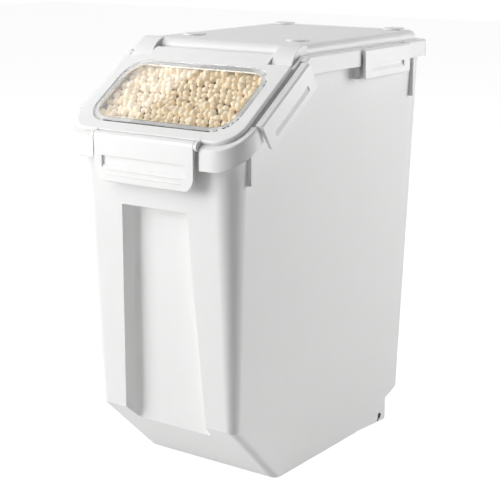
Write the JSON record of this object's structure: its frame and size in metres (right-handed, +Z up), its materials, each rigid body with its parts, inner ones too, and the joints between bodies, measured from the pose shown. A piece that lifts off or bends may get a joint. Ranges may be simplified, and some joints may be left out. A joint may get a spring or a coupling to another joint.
{
  "type": "rice container",
  "caption": "Tall white kitchen bin for rice or beans with a chamfered tub, a latched lift-off lid, a sloping flip lid with a clear window, side latches and rear rollers.",
  "frame": {"origin": "on the floor, under the middle of the whole part's bounding box", "axes": "+Z up, the front with the flip lid and front latch faces -Y, +X to the right seen from the front"},
  "size_m": [0.231, 0.372, 0.457],
  "materials": {
    "white_body": "satin white moulded plastic",
    "white_lid": "satin white moulded plastic",
    "white_latch": "white moulded plastic, slightly glossier than the tub",
    "clear_window": "clear polished plastic",
    "silicone": "pale soft silicone",
    "steel": "drawn rod",
    "dark_steel": "blackened rod",
    "roller_plastic": "dark moulded plastic",
    "foot_plastic": "pale moulded plastic"
  },
  "bodies": {
    "tub_body": {"tub": "white_body", "left_front_foot": "foot_plastic", "right_front_foot": "foot_plastic", "left_axle": "dark_steel", "right_axle": "dark_steel"},
    "left_roller_body": {"left_roller": "roller_plastic"},
    "right_roller_body": {"right_roller": "roller_plastic"},
    "lid_body": {"lid_collar": "white_lid", "lid_gasket": "silicone", "scoop_seal": "silicone", "top_plate": "white_lid", "stacking_pads": "white_lid", "flip_hinge_rod": "steel"},
    "flip_lid_body": {"flip_lid": "white_lid", "window_pane": "clear_window", "window_gasket": "silicone", "front_latch_pin": "steel"},
    "front_latch_body": {"front_latch": "white_latch"},
    "left_top_latch_body": {"left_top_latch": "white_latch"},
    "right_top_latch_body": {"right_top_latch": "white_latch"},
    "left_slope_latch_body": {"left_slope_latch": "white_latch"},
    "right_slope_latch_body": {"right_slope_latch": "white_latch"}
  },
  "joints": [
    {"name": "left_roller_turn", "type": "hinge", "parent": "tub_body", "child": "left_roller_body", "pos_m": [-0.06982, 0.13698, 0.008], "axis": [1, 0, 0], "continuous": true},
    {"name": "right_roller_turn", "type": "hinge", "parent": "tub_body", "child": "right_roller_body", "pos_m": [0.06982, 0.13698, 0.008], "axis": [1, 0, 0], "continuous": true},
    {"name": "lid_lift", "type": "slide", "parent": "tub_body", "child": "lid_body", "axis": [0, 0, 1], "range_m": [0, 0.15]},
    {"name": "flip_lid_swing", "type": "hinge", "parent": "lid_body", "child": "flip_lid_body", "pos_m": [0, -0.0685, 0.44141], "axis": [-1, 0, 0], "range_deg": [0, 130]},
    {"name": "front_latch_swing", "type": "hinge", "parent": "flip_lid_body", "child": "front_latch_body", "pos_m": [0, -0.18052, 0.36882], "axis": [-1, 0, 0], "range_deg": [0, 105]},
    {"name": "left_top_latch_swing", "type": "hinge", "parent": "lid_body", "child": "left_top_latch_body", "pos_m": [-0.1085, 0.08248, 0.441], "axis": [0, 1, 0], "range_deg": [0, 90]},
    {"name": "right_top_latch_swing", "type": "hinge", "parent": "lid_body", "child": "right_top_latch_body", "pos_m": [0.1085, 0.08248, 0.441], "axis": [0, -1, 0], "range_deg": [0, 90]},
    {"name": "left_slope_latch_swing", "type": "hinge", "parent": "lid_body", "child": "left_slope_latch_body", "pos_m": [-0.1085, -0.10785, 0.41081], "axis": [0, 0.8339, 0.5519], "range_deg": [0, 90]},
    {"name": "right_slope_latch_swing", "type": "hinge", "parent": "lid_body", "child": "right_slope_latch_body", "pos_m": [0.1085, -0.10785, 0.41081], "axis": [0, -0.8339, -0.5519], "range_deg": [0, 90]}
  ]
}
